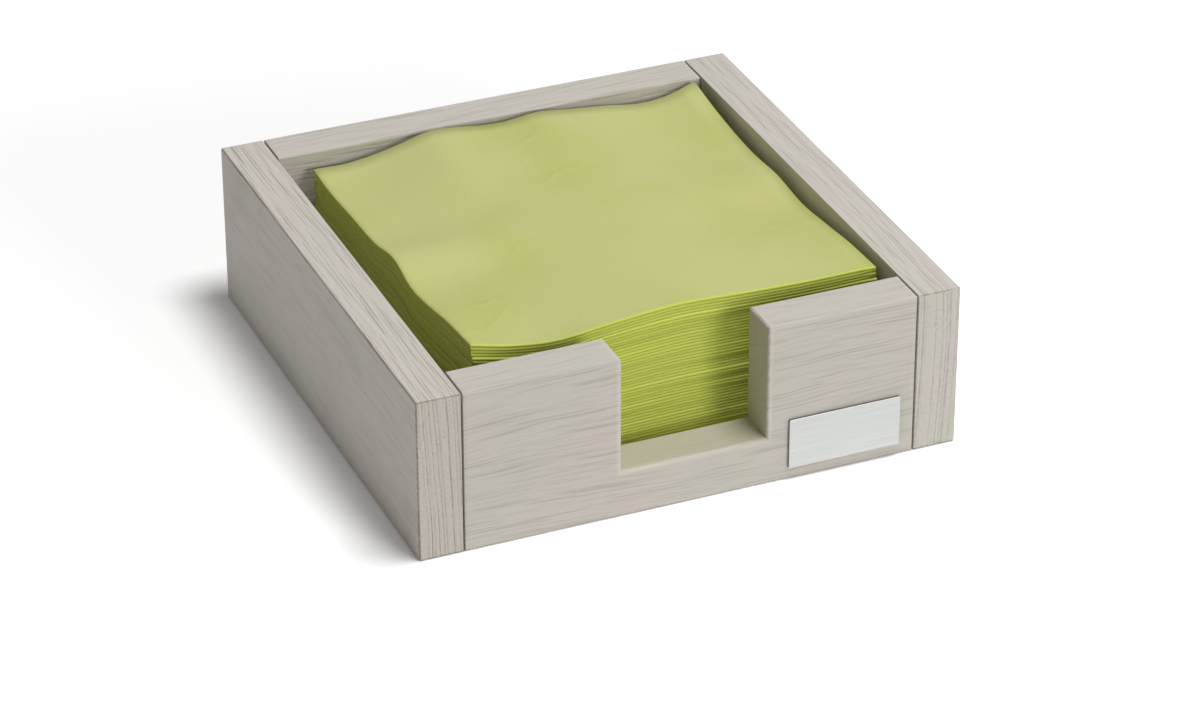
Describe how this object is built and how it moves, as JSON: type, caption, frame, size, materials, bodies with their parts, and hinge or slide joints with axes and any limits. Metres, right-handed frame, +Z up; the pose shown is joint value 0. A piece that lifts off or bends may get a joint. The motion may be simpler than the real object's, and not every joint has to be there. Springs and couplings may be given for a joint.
{
  "type": "napkin holder",
  "caption": "Open square wooden tray that holds a stack of folded paper napkins, with a finger notch in its front board.",
  "frame": {"origin": "on the surface that the holder stands on, under the middle of the four boards", "axes": "+Z up, -Y towards the board with the finger notch, +X towards the side with the plate"},
  "size_m": [0.218, 0.2172, 0.067],
  "materials": {
    "board_wood": "bleached softwood, brushed, with an open grain and a matte wash",
    "panel_wood": "plain thin plywood, matte",
    "dowel_wood": "bare turned hardwood",
    "screw_steel": "zinc plated",
    "plate_metal": "satin, bare",
    "pad_foam": "dark adhesive foam",
    "napkin_paper": "soft tissue paper, matte"
  },
  "bodies": {
    "holder": {"left_side": "board_wood", "right_side": "board_wood", "front_board": "board_wood", "back_board": "board_wood", "base_panel": "panel_wood", "corner_dowels": "dowel_wood", "base_screws": "screw_steel", "label_plate": "plate_metal", "plate_pad": "pad_foam"},
    "napkin_stack": {"napkin_01": "napkin_paper", "napkin_02": "napkin_paper", "napkin_03": "napkin_paper", "napkin_04": "napkin_paper", "napkin_05": "napkin_paper", "napkin_06": "napkin_paper", "napkin_07": "napkin_paper", "napkin_08": "napkin_paper", "napkin_09": "napkin_paper", "napkin_10": "napkin_paper", "napkin_11": "napkin_paper", "napkin_12": "napkin_paper", "napkin_13": "napkin_paper", "napkin_14": "napkin_paper", "napkin_15": "napkin_paper", "napkin_16": "napkin_paper", "napkin_17": "napkin_paper", "napkin_18": "napkin_paper", "napkin_19": "napkin_paper", "napkin_20": "napkin_paper", "napkin_21": "napkin_paper", "napkin_22": "napkin_paper", "napkin_23": "napkin_paper"},
    "top_napkin": {"napkin_24": "napkin_paper"}
  },
  "joints": [
    {"name": "napkin_stack_lift", "type": "slide", "parent": "holder", "child": "napkin_stack", "axis": [0, 0, 1], "range_m": [0, 0.07]},
    {"name": "top_napkin_lift", "type": "slide", "parent": "napkin_stack", "child": "top_napkin", "axis": [0, 0, 1], "range_m": [0, 0.05]}
  ]
}
